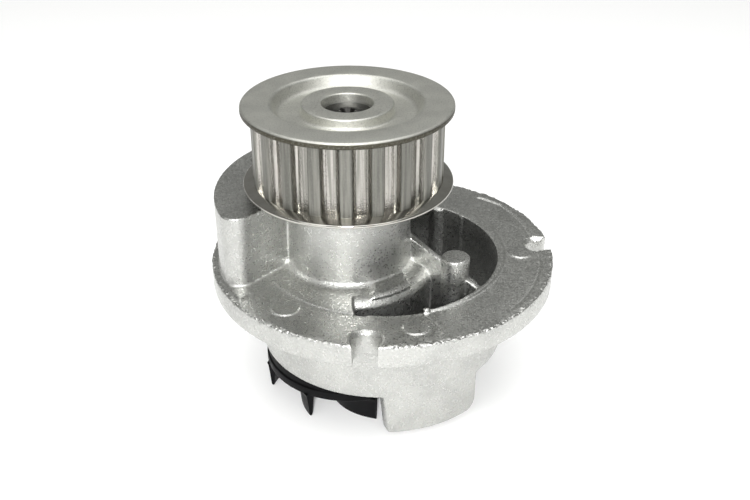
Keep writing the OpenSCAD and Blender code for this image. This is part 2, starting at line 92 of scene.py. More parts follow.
class Graph:
    """Node tree of one material, with short calls for the nodes that the finishes use."""

    def __init__(self, name: str, metallic: float = 0.0) -> None:
        """Starts an empty tree with a Principled shader.

        Args:
            name: Name of the material.
            metallic: Metallic value, the same all over the surface.
        """
        self.material = bpy.data.materials.new(name)
        self.material.use_nodes = True
        self.tree = self.material.node_tree
        self.tree.nodes.clear()
        self.shader = self.node("ShaderNodeBsdfPrincipled")
        self.shader.inputs["Metallic"].default_value = metallic
        out = self.node("ShaderNodeOutputMaterial")
        self.link(self.shader.outputs["BSDF"], out.inputs["Surface"])
        self.coords = self.node("ShaderNodeTexCoord").outputs["Object"]

    def node(self, kind: str) -> Node:
        """Adds one node of this kind and returns it."""
        return self.tree.nodes.new(kind)

    def link(self, source: Socket, target: Socket) -> None:
        """Joins an output to an input."""
        self.tree.links.new(source, target)

    def feed(self, target: Socket, value: object) -> None:
        """Sets an input from a number or joins it to a socket.

        Args:
            target: The input.
            value: A socket, a number or a colour.
        """
        if isinstance(value, Socket):
            self.link(value, target)
        elif isinstance(value, (tuple, list)) and len(value) == 3 and target.type == "RGBA":
            target.default_value = (*value, 1.0)
        else:
            target.default_value = value

    def math(self, operation: str, a: object, b: object = 0.0, clamp: bool = False) -> Socket:
        """Adds a Math node.

        Args:
            operation: Name of the operation, in capitals.
            a: First value or socket.
            b: Second value or socket.
            clamp: True to hold the result between 0 and 1.

        Returns:
            The result's socket.
        """
        n = self.node("ShaderNodeMath")
        n.operation = operation
        n.use_clamp = clamp
        self.feed(n.inputs[0], a)
        self.feed(n.inputs[1], b)
        return n.outputs[0]

    def mapping(self, scale: Sequence[float], location: Sequence[float] = (0, 0, 0)) -> Socket:
        """Moves and scales the object coordinates.

        Args:
            scale: Scale along each axis.
            location: Shift, before the scale, in metres.

        Returns:
            The vector's socket.
        """
        n = self.node("ShaderNodeMapping")
        self.link(self.coords, n.inputs["Vector"])
        n.inputs["Scale"].default_value = scale
        n.inputs["Location"].default_value = [s * v for s, v in zip(scale, location)]
        return n.outputs[0]

    def around_shaft(self) -> tuple[Socket, Socket]:
        """Distance from the shaft axis and height, both in metres, as sockets."""
        centred = self.mapping((1, 1, 1), (-SHAFT[0] * MM, -SHAFT[1] * MM, 0))
        split = self.node("ShaderNodeSeparateXYZ")
        self.link(centred, split.inputs[0])
        x2 = self.math("MULTIPLY", split.outputs[0], split.outputs[0])
        y2 = self.math("MULTIPLY", split.outputs[1], split.outputs[1])
        return self.math("SQRT", self.math("ADD", x2, y2)), split.outputs[2]

    def rings(self) -> Socket:
        """Vector that changes with the distance from the shaft axis and the height only."""
        radius, height = self.around_shaft()
        join = self.node("ShaderNodeCombineXYZ")
        self.link(radius, join.inputs[0])
        self.link(height, join.inputs[1])
        return join.outputs[0]

    def noise(self, vector: Socket, scale: float, detail: float = 2.0,
              roughness: float = 0.5) -> Socket:
        """Adds a Noise texture.

        Args:
            vector: Coordinates.
            scale: Features per metre.
            detail: Octaves.
            roughness: Strength of the finer octaves.

        Returns:
            The factor's socket.
        """
        n = self.node("ShaderNodeTexNoise")
        self.link(vector, n.inputs["Vector"])
        n.inputs["Scale"].default_value = scale
        n.inputs["Detail"].default_value = detail
        n.inputs["Roughness"].default_value = roughness
        return n.outputs["Fac"]

    def grains(self, vector: Socket, scale: float) -> Socket:
        """One random grey per small cell, for glints.

        Args:
            vector: Coordinates.
            scale: Cells per metre.

        Returns:
            The random value's socket.
        """
        n = self.node("ShaderNodeTexVoronoi")
        self.link(vector, n.inputs["Vector"])
        n.inputs["Scale"].default_value = scale
        split = self.node("ShaderNodeSeparateColor")
        self.link(n.outputs["Color"], split.inputs[0])
        return split.outputs[0]

    def ramp(self, value: Socket, low: float, high: float,
             out_low: float = 0.0, out_high: float = 1.0) -> Socket:
        """Maps a value smoothly from one range to another.

        Args:
            value: The value's socket.
            low: Value that gives out_low.
            high: Value that gives out_high.
            out_low: Result at and below low.
            out_high: Result at and above high.

        Returns:
            The result's socket.
        """
        n = self.node("ShaderNodeMapRange")
        n.interpolation_type = "SMOOTHSTEP"
        self.link(value, n.inputs["Value"])
        for name, v in (("From Min", low), ("From Max", high), ("To Min", out_low),
                        ("To Max", out_high)):
            n.inputs[name].default_value = v
        return n.outputs["Result"]

    def mix(self, factor: object, a: object, b: object) -> Socket:
        """Mixes two colours.

        Args:
            factor: Share of b, a number or socket.
            a: First colour or socket.
            b: Second colour or socket.

        Returns:
            The colour's socket.
        """
        n = self.node("ShaderNodeMix")
        n.data_type = "RGBA"
        self.feed(n.inputs[0], factor)
        for socket, value in zip(MIX_COLOUR_INPUTS, (a, b)):
            self.feed(n.inputs[socket], value)
        return n.outputs[MIX_COLOUR_OUTPUT]

    def attribute(self, name: str) -> Socket:
        """Reads a number that is stored at each point of the mesh."""
        n = self.node("ShaderNodeAttribute")
        n.attribute_name = name
        return n.outputs["Fac"]

    def bump(self, height: Socket, strength: float, distance: float,
             under: Socket | None = None) -> Socket:
        """Adds a Bump node.

        Args:
            height: Height, from 0 to 1.
            strength: Strength of the bump.
            distance: Height in metres at 1.
            under: Normal from a coarser bump.

        Returns:
            The normal's socket.
        """
        n = self.node("ShaderNodeBump")
        n.inputs["Strength"].default_value = strength
        n.inputs["Distance"].default_value = distance
        self.link(height, n.inputs["Height"])
        if under is not None:
            self.link(under, n.inputs["Normal"])
        return n.outputs[0]

    def finish(self, colour: object, roughness: object, normal: Socket | None = None,
               **constants: float) -> Material:
        """Joins the last sockets to the shader.

        Args:
            colour: Base colour.
            roughness: Roughness.
            normal: Normal, if the finish has a bump.
            **constants: Other inputs that are the same all over, by name, with _ for a space.

        Returns:
            The finished material.
        """
        self.feed(self.shader.inputs["Base Color"], colour)
        self.feed(self.shader.inputs["Roughness"], roughness)
        if normal is not None:
            self.link(normal, self.shader.inputs["Normal"])
        for name, value in constants.items():
            self.shader.inputs[name.replace("_", " ")].default_value = value
        return self.material


@dataclass(frozen=True)
class CastAluminium:
    """Die-cast skin: fine grain, mottling and worn edges, with painted glints, a painted highlight
    along hollows and painted shade in the pocket.
    """

    bright: Colour = (0.57, 0.572, 0.55)
    dull: Colour = (0.48, 0.482, 0.465)
    dark_grain: Colour = (0.25, 0.25, 0.24)
    # Light tone for worn edges, painted glints and the painted highlight along hollows.
    worn_and_highlight: Colour = (0.76, 0.76, 0.74)
    # Painted shade for the inside of the pocket.
    pocket: Colour = (0.13, 0.13, 0.135)
    grain_scale: float = 1800.0
    rough_low: float = 0.26
    rough_high: float = 0.50

    def build(self) -> Material:
        """Builds the material."""
        g = Graph("cast_skin", metallic=1.0)
        mottle = g.noise(g.coords, 60, 4, 0.6)
        cloud = g.noise(g.coords, 520, 3, 0.6)
        grain = g.noise(g.coords, self.grain_scale, 2, 0.65)
        glint = g.grains(g.coords, 2500)
        crest, hollow_highlight = g.attribute("crest"), g.attribute("hollow_highlight")
        pocket_shade, up = g.attribute("pocket_shade"), g.attribute("up")
        colour = g.mix(g.ramp(mottle, 0.34, 0.66), self.dull, self.bright)
        pits = g.math("MULTIPLY", g.ramp(grain, 0.34, 0.52, 1.0, 0.0),
                      g.ramp(up, 0.0, 1.0, 0.14, 0.50))
        colour = g.mix(pits, colour, self.dark_grain)
        # Painted glints: random small cells lightened, more on faces that look up.
        painted_glints = g.math("MULTIPLY", g.ramp(glint, 0.80, 0.90),
                        g.ramp(up, 0.0, 1.0, 0.20, 0.50))
        colour = g.mix(painted_glints, colour, self.worn_and_highlight)
        # Painted shade inside the pocket, real wear on the crests and a painted highlight along
        # hollows and fillets.
        for place, share, tint in ((pocket_shade, 0.38, self.pocket), (crest, 0.30, self.worn_and_highlight),
                                   (hollow_highlight, 0.60, self.worn_and_highlight)):
            colour = g.mix(g.math("MULTIPLY", place, share), colour, tint)
        rough = g.ramp(glint, 0.0, 1.0, self.rough_high, self.rough_low)
        rough = g.math("SUBTRACT", rough, g.math("MULTIPLY", crest, 0.08), clamp=True)
        coarse = g.bump(cloud, 0.12, 0.00008)
        fine = g.bump(grain, 0.9, 0.00015, coarse)
        return g.finish(colour, rough, fine)


@dataclass(frozen=True)
class SinteredSteel:
    """Pressed and sintered steel: matt, faintly green, with pores and lengthways die marks; painted
    shade on the teeth, the rim edge and under the flange, and a painted reflection in the tooth
    spaces.

    The zones are spans of height or of distance from the shaft, in metres.
    """

    bright: Colour = (0.66, 0.66, 0.61)
    dull: Colour = (0.58, 0.58, 0.54)
    pore: Colour = (0.26, 0.26, 0.24)
    # Painted shade: dark colours that the teeth take, with lengthways die streaks.
    land_shade: Colour = (0.155, 0.155, 0.138)
    drawn: Colour = (0.24, 0.235, 0.212)
    # Painted reflection: a lighter colour for the tooth spaces.
    space: Colour = (0.46, 0.44, 0.41)
    # Painted shade for the flange's outer edge, and painted shadow under the flange at the tops of
    # the spaces.
    edge: Colour = (0.075, 0.07, 0.052)
    roughness: float = 0.46
    tooth_top: Point2 = (0.0604, 0.0602)
    tooth_root: Point2 = (0.0255, 0.0262)
    flank: Point2 = (0.0294, 0.0286)
    shade_rise: Point2 = (0.0578, 0.0602)
    rim_out: Point2 = (0.0319, 0.0324)
    rim_top: Point2 = (0.0624, 0.0619)

    def build(self) -> Material:
        """Builds the material."""
        g = Graph("sintered_skin", metallic=1.0)
        cloud = g.noise(g.coords, 160, 3, 0.6)
        grain = g.noise(g.coords, 2300, 2, 0.65)
        streak = g.noise(g.mapping((1, 1, 0.03)), 1100, 3, 0.6)
        radius, height = g.around_shaft()
        toothed = g.math("MULTIPLY", g.ramp(height, *self.tooth_top),
                         g.ramp(radius, *self.tooth_root))
        space = g.math("MULTIPLY", toothed, g.ramp(radius, *self.flank))
        shade = g.math("MULTIPLY", space, g.ramp(height, *self.shade_rise))
        rim = g.math("MULTIPLY", g.ramp(radius, *self.rim_out),
                     g.ramp(height, *self.rim_top))
        colour = g.mix(g.ramp(cloud, 0.20, 0.80), self.dull, self.bright)
        # Painted shade on the teeth, streaked lengthways by the die marks, and a lighter painted
        # reflection in the spaces.
        for zone, low, high in ((toothed, self.land_shade, self.drawn), (space, self.drawn, self.space)):
            colour = g.mix(zone, colour, g.mix(g.ramp(streak, 0.38, 0.64), low, high))
        # Painted shade on the rim's outer edge and painted shadow under the upper flange at the
        # tops of the spaces.
        colour = g.mix(g.math("MAXIMUM", rim, g.math("MULTIPLY", shade, 0.9)), colour, self.edge)
        colour = g.mix(g.ramp(grain, 0.34, 0.50, 0.40, 0.0), colour, self.pore)
        rough = g.ramp(cloud, 0.2, 0.8, self.roughness, self.roughness + 0.03)
        smoother = g.math("ADD", g.math("MULTIPLY", toothed, 0.08), g.math("MULTIPLY", space, 0.25))
        rough = g.math("SUBTRACT", rough, smoother, clamp=True)
        die = g.bump(streak, 0.14, 0.00004)
        return g.finish(colour, rough, g.bump(grain, 0.85, 0.00013, die))


@dataclass(frozen=True)
class TurnedSteel:
    """Steel with fine marks that run round the shaft axis."""

    name: str
    bright: Colour
    dull: Colour
    rough_low: float
    rough_high: float
    marks: float = 9000.0

    def build(self) -> Material:
        """Builds the material."""
        g = Graph(self.name, metallic=1.0)
        ring = g.noise(g.rings(), self.marks, 3, 0.7)
        cloud = g.noise(g.coords, 300, 4, 0.6)
        speck = g.noise(g.coords, 3000, 2, 0.6)
        colour = g.mix(g.ramp(cloud, 0.35, 0.65), self.dull, self.bright)
        colour = g.mix(g.ramp(speck, 0.28, 0.38, 0.5, 0.0), colour, self.dull)
        rough = g.ramp(g.math("ADD", g.math("MULTIPLY", ring, 0.6), g.math("MULTIPLY", cloud, 0.4)),
                       0.35, 0.65, self.rough_low, self.rough_high)
        return g.finish(colour, rough, g.bump(ring, 0.18, 0.00004))


@dataclass(frozen=True)
class Moulded:
    """Moulded plastic, rubber or fired ceramic with a fine skin."""

    name: str
    colour: Colour
    light: Colour
    roughness: float
    grain: float = 1800.0
    depth: float = 0.00004
    specular: float = 0.5

    def build(self) -> Material:
        """Builds the material."""
        g = Graph(self.name)
        cloud = g.noise(g.coords, 240, 4, 0.6)
        grain = g.noise(g.coords, self.grain, 2, 0.6)
        colour = g.mix(g.ramp(cloud, 0.35, 0.7, 0.0, 0.5), self.colour, self.light)
        rough = g.ramp(cloud, 0.3, 0.7, self.roughness - 0.06, self.roughness + 0.08)
        return g.finish(colour, rough, g.bump(grain, 0.3, self.depth),
                        Specular_IOR_Level=self.specular)


@dataclass(frozen=True)
class PaleFloor:
    """Smooth pale floor with a hardly visible mottling."""

    light: Colour = (0.93, 0.93, 0.93)
    shade: Colour = (0.91, 0.91, 0.91)

    def build(self) -> Material:
        """Builds the material."""
        g = Graph("pale_floor")
        colour = g.mix(g.noise(g.coords, 3, 2), self.shade, self.light)
        return g.finish(colour, 0.85, Specular_IOR_Level=0.1, Emission_Color=(1.0, 1.0, 1.0, 1.0),
                        Emission_Strength=0.13)


# Mesh helpers


def add_object(name: str, mesh: Mesh) -> Object:
    """Puts a mesh into the scene as an object at the origin."""
    obj = bpy.data.objects.new(name, mesh)
    bpy.context.scene.collection.objects.link(obj)
    return obj


def dress(obj: Object, material: Material, body: Body,
          replaces: Sequence[str] = ()) -> Object:
    """Gives a finished piece its material and body, and hides the CAD nodes that it stands for.

    Args:
        obj: The piece.
        material: Its finish.
        body: Body that it moves with.
        replaces: CAD nodes that it stands for.

    Returns:
        The piece.
    """
    obj.data.materials.clear()
    obj.data.materials.append(material)
    if replaces:
        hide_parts(*replaces)
    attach(obj, body.value)
    LOG.info("%s: %d faces on %s", obj.name, len(obj.data.polygons), body.value)
    return obj


def rounded(corners: Sequence[tuple[float, float, float]], steps: int = 5) -> list[Point2]:
    """Rounds the corners of a closed outline.

    Args:
        corners: Corners as (x, y, radius); a radius of 0 keeps the corner.
        steps: Points on each round, less one.

    Returns:
        The outline's points.
    """
    out: list[Point2] = []
    n = len(corners)
    for i, (x, y, radius) in enumerate(corners):
        here = Vector((x, y))
        before = Vector(corners[i - 1][:2]) - here
        after = Vector(corners[(i + 1) % n][:2]) - here
        if radius <= 0:
            out.append((x, y))
            continue
        half = before.angle(after) / 2
        reach = min(radius / math.tan(half), before.length * 0.49, after.length * 0.49)
        radius = reach * math.tan(half)
        a, b = before.normalized(), after.normalized()
        centre = here + (a + b).normalized() * (radius / math.sin(half))
        start, end = here + a * reach - centre, here + b * reach - centre
        turn = start.angle_signed(end)
        for k in range(steps + 1):
            out.append(tuple(centre + Matrix.Rotation(-turn * k / steps, 2) @ start))
    return out


def lathe(name: str, outline: Sequence[Point2], segments: int = 160) -> Object:
    """Turns a closed outline about the shaft axis.

    Args:
        name: Name of the piece.
        outline: Closed outline as (radius, height) in mm, off the axis.
        segments: Steps in the full turn.

    Returns:
        The turned piece, with its faces pointing outwards.
    """
    bm = bmesh.new()
    loops = []
    for s in range(segments):
        a = 2 * math.pi * s / segments
        c, d = math.cos(a), math.sin(a)
        loops.append([bm.verts.new(((SHAFT[0] + r * c) * MM, (SHAFT[1] + r * d) * MM, z * MM))
                      for r, z in outline])
    n = len(outline)
    for s in range(segments):
        p, q = loops[s], loops[(s + 1) % segments]
        for k in range(n):
            bm.faces.new((p[k], q[k], q[(k + 1) % n], p[(k + 1) % n]))
    return finish_mesh(name, bm)


def from_bmesh(name: str, bm: bmesh.types.BMesh) -> Object:
    """Makes an object from a bmesh and frees the bmesh.

    Args:
        name: Name of the object and its mesh.
        bm: The bmesh.

    Returns:
        The object.
    """
    mesh = bpy.data.meshes.new(name)
    bm.to_mesh(mesh)
    bm.free()
    return add_object(name, mesh)


def finish_mesh(name: str, bm: bmesh.types.BMesh, sharp: float = 35.0) -> Object:
    """Merges doubles, points the faces outwards, shades smooth and makes the object.

    Args:
        name: Name of the piece.
        bm: The mesh, which is freed.
        sharp: Angle in degrees past which an edge stays sharp.

    Returns:
        The object.
    """
    bmesh.ops.remove_doubles(bm, verts=bm.verts, dist=1e-7)
    bmesh.ops.recalc_face_normals(bm, faces=bm.faces)
    obj = from_bmesh(name, bm)
    obj.data.shade_smooth()
    obj.data.set_sharp_from_angle(angle=math.radians(sharp))
    return obj


def prism_rows(rows: Sequence[Sequence[Vector]], bm: bmesh.types.BMesh) -> None:
    """Skins a stack of closed loops with the same number of points and closes both ends.

    Args:
        rows: The loops, in order.
        bm: Mesh that takes the faces.
    """
    made = [[bm.verts.new(p) for p in row] for row in rows]
    n = len(rows[0])
    for low, high in zip(made, made[1:]):
        for k in range(n):
            bm.faces.new((low[k], low[(k + 1) % n], high[(k + 1) % n], high[k]))
    bm.faces.new(reversed(made[0]))
    bm.faces.new(made[-1])


def hash_noise(points: np.ndarray, scale: float, seed: int) -> np.ndarray:
    """Smooth repeatable noise on a lattice.

    Args:
        points: Points, one a row, in mm.
        scale: Size of one lattice cell in mm.
        seed: Number that picks the pattern.

    Returns:
        Values from -1 to 1.
    """
    q = points / scale
    base = np.floor(q).astype(np.int64)
    t = q - base
    t = t * t * (3 - 2 * t)
    total = np.zeros(len(points))
    for dx in (0, 1):
        for dy in (0, 1):
            for dz in (0, 1):
                h = seed * 2654435761
                for axis, (step, prime) in enumerate(zip((dx, dy, dz), LATTICE_PRIMES)):
                    h = h ^ ((base[:, axis] + step) * prime)
                h = h & 0xFFFFFFFF
                h = ((h ^ (h >> 15)) * 2246822519) & 0xFFFFFFFF
                value = ((h ^ (h >> 13)) & 0xFFFF) / 32767.5 - 1
                weight = (t[:, 0] if dx else 1 - t[:, 0]) * (t[:, 1] if dy else 1 - t[:, 1])
                total += value * weight * (t[:, 2] if dz else 1 - t[:, 2])
    return total


def smoothstep(value: np.ndarray, low: float, high: float) -> np.ndarray:
    """Smooth step from 0 at low to 1 at high."""
    t = np.clip((value - low) / (high - low), 0, 1)
    return t * t * (3 - 2 * t)


def between(value: np.ndarray, low: float, high: float, rise: float, fall: float) -> np.ndarray:
    """Smooth window that rises from 0 past low and falls back to 0 at high."""
    return smoothstep(value, low, low + rise) * (1 - smoothstep(value, high - fall, high))


def ridge(value: np.ndarray, at: float, width: float = 0.3) -> np.ndarray:
    """Rounded ridge of height 1 at one value."""
    return np.exp(-((value - at) / width) ** 2)


# Geometry Nodes


class NodeTree:
    """A Geometry Nodes tree with named inputs, and short calls for its nodes and links."""

    def __init__(self, name: str, labels: dict[str, str]) -> None:
        """Starts a tree with one geometry output.

        Args:
            name: Name of the tree.
            labels: Kind of each input's socket, by the input's label.
        """
        self.tree = bpy.data.node_groups.new(name, "GeometryNodeTree")
        face = self.tree.interface
        face.new_socket("Geometry", in_out="OUTPUT", socket_type="NodeSocketGeometry")
        self.inputs: dict[str, str] = {}
        for label, kind in labels.items():
            made = face.new_socket(label, in_out="INPUT", socket_type="NodeSocket" + kind)
            self.inputs[label] = made.identifier
        self.given = self.tree.nodes.new("NodeGroupInput")

    def add(self, kind: str, inputs: dict[int | str, object] | None = None,
            **settings: object) -> Node:
        """Adds one node.

        Args:
            kind: Type of the node.
            inputs: Sockets or numbers for its inputs, by place or name.
            **settings: Its own settings, which are made before the inputs.

        Returns:
            The node.
        """
        node = self.tree.nodes.new(kind)
        for name, value in settings.items():
            setattr(node, name, value)
        for key, value in (inputs or {}).items():
            if isinstance(value, Socket):
                self.tree.links.new(value, node.inputs[key])
            else:
                node.inputs[key].default_value = value
        return node

    def close(self, copies: Node) -> None:
        """Ends the tree in Realize Instances and Set Material.

        Args:
            copies: Node that gives the instances.
        """
        solid = self.add("GeometryNodeRealizeInstances", {0: copies.outputs[0]})
        paint = self.add("GeometryNodeSetMaterial", {
            "Geometry": solid.outputs[0], "Material": self.given.outputs["Material"]})
        self.add("NodeGroupOutput", {0: paint.outputs[0]})

    def run(self, name: str, values: dict[str, object]) -> Object:
        """Runs the tree and returns the result as a plain mesh.

        Args:
            name: Name of the piece.
            values: Inputs by label.

        Returns:
            The new piece.
        """
        holder = add_object(name + "_holder", bpy.data.meshes.new(name + "_holder"))
        modifier = holder.modifiers.new("nodes", "NODES")
        modifier.node_group = self.tree
        for label, value in values.items():
            modifier[self.inputs[label]] = value
        return plain_copy(name, holder)


class Repeater:
    """Sets copies of one piece at equal steps round the shaft axis."""

    def __init__(self, name: str) -> None:
        """Builds the tree with its named inputs."""
        self.tree = NodeTree(name, {"Piece": "Object", "Count": "Int", "Start Angle": "Float",
                                    "Centre": "Vector", "Material": "Material"})
        add, given = self.tree.add, self.tree.given.outputs
        line = add("GeometryNodeMeshLine", {"Count": given["Count"], "Offset": (0, 0, 0)},
                   mode="OFFSET")
        index = add("GeometryNodeInputIndex")
        step = add("ShaderNodeMath", {0: 2 * math.pi, 1: given["Count"]}, operation="DIVIDE")
        angle = add("ShaderNodeMath", {0: index.outputs[0], 1: step.outputs[0],
                                       2: given["Start Angle"]}, operation="MULTIPLY_ADD")
        turn = add("ShaderNodeCombineXYZ", {2: angle.outputs[0]})
        info = add("GeometryNodeObjectInfo", {"Object": given["Piece"]},
                   transform_space="ORIGINAL")
        copies = add("GeometryNodeInstanceOnPoints", {
            "Points": line.outputs[0], "Instance": info.outputs["Geometry"],
            "Rotation": turn.outputs[0]})
        self.tree.close(add("GeometryNodeTransform", {
            "Geometry": copies.outputs[0], "Translation": given["Centre"]}))

    def ring(self, name: str, piece: Object, count: int, start: float, material: Material,
             slot: Slot) -> None:
        """Sets a piece round the shaft, removes the single one and dresses the ring.

        Args:
            name: Name of the ring.
            piece: The single piece.
            count: How many stand in the ring.
            start: Bearing of the first in degrees.
            material: Finish of the ring.
            slot: Material slot of the ring; not used.
        """
        made = self.tree.run(name, {
            "Piece": piece, "Count": count, "Start Angle": math.radians(start),
            "Centre": (SHAFT[0] * MM, SHAFT[1] * MM, 0.0), "Material": material})
        bpy.data.objects.remove(piece)
        made.data.shade_smooth()
        made.data.set_sharp_from_angle(angle=math.radians(RING_SHARP))
        dress(made, material, Body.ROTOR)


def plain_copy(name: str, source: Object) -> Object:
    """Turns an object with modifiers into a plain mesh object and removes the source.

    Args:
        name: Name of the result.
        source: Object whose modifiers are applied.

    Returns:
        The plain object.
    """
    bpy.context.view_layer.update()
    evaluated = source.evaluated_get(bpy.context.evaluated_depsgraph_get())
    mesh = bpy.data.meshes.new_from_object(evaluated)
    mesh.name = name
    bpy.data.objects.remove(source)
    return add_object(name, mesh)


# Sub-assemblies


@dataclass
class CastHousing:
    """The die-cast housing, remeshed so that every edge and corner has a cast round."""

    voxel: float = 0.34
    rounding: int = 4
    round_share: float = 0.5
    wear_and_highlight_passes: int = 9
    wear_and_highlight_share: float = 0.6
    crest_span: Point2 = (0.05, 0.20)
    hollow_highlight_span: Point2 = (0.045, 0.13)
    triangles: int = 190000
    flange_r: float = 56.3
    flange_t: float = 8.0
    marks: tuple[Triple, ...] = ((-132, 46.4, 4.1), (-81, 47.2, 3.5), (-5.4, 45.8, 3.4))
    witness: tuple[Point2, Point2] = ((10.4, -39.5), (15.6, -49.6))
    band: tuple[Point2, ...] = ((-50, 53.4), (-24, 52.4), (6.5, 51.5), (23.1, 52.5),
                                (34.1, 53.6), (45.2, 52.0))
    pocket: Triple = (0.5, -2.1, 37.5)
    lip_r: float = 40.3
    swell_h: Point2 = (0.035, 0.008)
    flash_h: Point2 = (0.22, 0.18)
    mark_h: float = 0.20
    witness_h: Point2 = (0.22, 0.16)
    band_h: Point2 = (0.30, 0.14)
    lip_h: float = 0.20
    bead_h: float = 0.75
    lip_turn: Point2 = (-54, -14)
    bead_turn: Point2 = (-101, -72)
    material: Material | None = None

    def build(self) -> Object:
        """Builds and dresses the housing."""
        obj = self.remeshed()
        points, _, edges = self.arrays(obj.data)
        for _ in range(self.rounding):
            points = self.relax(points, edges, self.round_share)
        self.store(obj.data, points)
        points, normals, edges = self.arrays(obj.data)
        points += normals * self.relief(points, normals)[:, None]
        self.store(obj.data, points)
        points, normals, edges = self.arrays(obj.data)
        crest, hollow_highlight = self.wear_and_highlight(points, normals, edges)
        obj = self.thinned(obj)
        # Stores edge wear, a painted highlight along hollows, painted shade in the pocket and how
        # much each face looks up.
        self.transfer(obj.data, points, {
            "crest": crest, "hollow_highlight": hollow_highlight, "pocket_shade": self.depth(points),
            "up": smoothstep(normals[:, 2], 0.5, 0.9)})
        obj.data.shade_smooth()
        return dress(obj, self.material, Body.HOUSING, ["pump_housing"])

    def remeshed(self) -> Object:
        """Copies the CAD solid, merges its loose triangles and remeshes it in even voxels."""
        bm = bmesh.new()
        bm.from_mesh(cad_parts["pump_housing"].data)
        bmesh.ops.remove_doubles(bm, verts=bm.verts, dist=2e-6)
        obj = from_bmesh("casting_source", bm)
        modifier = obj.modifiers.new("remesh", "REMESH")
        modifier.mode = "VOXEL"
        modifier.voxel_size = self.voxel * MM
        return plain_copy("cast_housing", obj)

    @staticmethod
    def arrays(mesh: Mesh) -> tuple[np.ndarray, np.ndarray, np.ndarray]:
        """Reads a mesh.

        Args:
            mesh: The mesh.

        Returns:
            Its points in mm, its normals and its edges.
        """
        n = len(mesh.vertices)
        points, normals = np.empty(n * 3), np.empty(n * 3)
        mesh.vertices.foreach_get("co", points)
        mesh.vertices.foreach_get("normal", normals)
        edges = np.empty(len(mesh.edges) * 2, np.int64)
        mesh.edges.foreach_get("vertices", edges)
        return points.reshape(-1, 3) / MM, normals.reshape(-1, 3), edges.reshape(-1, 2)

    @staticmethod
    def store(mesh: Mesh, points: np.ndarray) -> None:
        """Writes points in mm back to a mesh."""
        mesh.vertices.foreach_set("co", (points * MM).ravel())
        mesh.update()

    @staticmethod
    def relax(points: np.ndarray, edges: np.ndarray, share: float) -> np.ndarray:
        """Moves each point part of the way to the mean of its neighbours.

        Args:
            points: Points, one a row.
            edges: Pairs of point numbers.
            share: Part of the way.

        Returns:
            The moved points.
        """
        n = len(points)
        ends = np.concatenate([edges[:, 0], edges[:, 1]])
        others = np.concatenate([edges[:, 1], edges[:, 0]])
        count = np.bincount(ends, minlength=n).clip(1)
        mean = np.stack([np.bincount(ends, points[others, k], n) / count for k in range(3)], 1)
        return points + (mean - points) * share

    def relief(self, points: np.ndarray, normals: np.ndarray) -> np.ndarray:
        """Height of the casting's unevenness, its die marks and the flash on the rim.

        Args:
            points: Points in mm.
            normals: Normals at the points.

        Returns:
            One height per point in mm.
        """
        soft = self.swell_h[0] * hash_noise(points, 8.0, 1)
        soft += self.swell_h[1] * hash_noise(points, 2.6, 2)
        radius = np.hypot(points[:, 0], points[:, 1])
        rim = smoothstep(radius, self.flange_r - 2.0, self.flange_r - 0.5)
        rim *= 1 - smoothstep(np.abs(points[:, 2] - self.flange_t), 0.5, 1.5)
        flash = self.flash_h[0] * hash_noise(points, 1.1, 3)
        flash += self.flash_h[1] * hash_noise(points, 0.65, 4)
        return soft + rim * (flash - 0.05) + self.die_marks(points, normals, radius)

    def die_marks(self, points: np.ndarray, normals: np.ndarray,
                  radius: np.ndarray) -> np.ndarray:
        """Height of the ejector rings, witness line, rim band, pocket lip and pocket bead.

        Args:
            points: Points in mm.
            normals: Normals at the points.
            radius: Distance of each point from the spigot's axis in mm.

        Returns:
            One height per point in mm, 0 away from the deck.
        """
        x, y, z = points.T
        deck = self.flange_t
        flat = smoothstep(normals[:, 2], 0.55, 0.85) * smoothstep(z, deck - 0.9, deck - 0.4)
        flat *= 1 - smoothstep(z, deck + 1.2, deck + 2.0)
        turn = np.degrees(np.arctan2(y, x))
        height = np.zeros(len(points))
        for bearing, reach, mark_r in self.marks:
            dx = x - reach * math.cos(math.radians(bearing))
            dy = y - reach * math.sin(math.radians(bearing))
            front = 0.35 + 0.65 * smoothstep(-dy / mark_r, 0.2, 0.9)
            height += self.mark_h * front * ridge(np.hypot(dx, dy) - mark_r, 0)
        (ax, ay), (bx, by) = self.witness
        length = math.hypot(bx - ax, by - ay)
        along = ((x - ax) * (bx - ax) + (y - ay) * (by - ay)) / length
        across = ((x - ax) * (by - ay) - (y - ay) * (bx - ax)) / length
        up, down = self.witness_h
        inside = between(along, -0.6, length + 0.6, 1.0, 1.0)
        height += inside * (up * ridge(across, 0.3) - down * ridge(across, -0.4))
        up, down = self.band_h
        edge = radius - np.interp(turn, *zip(*self.band))
        inside = between(turn, -50, 45.5, 10, 1)
        height += inside * (up * smoothstep(edge, -0.1, 0.4) - down * ridge(edge, -0.35))
        lip = 1 - smoothstep(radius - self.lip_r, -0.2, 0.3)
        height += self.lip_h * between(turn, *self.lip_turn, 2, 2) * lip
        away = np.hypot(x - self.pocket[0], y - self.pocket[1]) - self.pocket[2]
        bead = 1 - smoothstep(away, 0.5, 1.6)
        height += self.bead_h * between(turn, *self.bead_turn, 3, 1) * bead
        return height * flat

    def depth(self, points: np.ndarray) -> np.ndarray:
        """How far down each point lies in the pocket, from 0 to 1; it sets the pocket's painted
        shade.
        """
        away = np.hypot(points[:, 0] - self.pocket[0], points[:, 1] - self.pocket[1])
        inside = 1 - smoothstep(away, self.pocket[2] + 0.1, self.pocket[2] + 0.5)
        return inside * smoothstep(self.flange_t - points[:, 2], 0.5, 6.0)

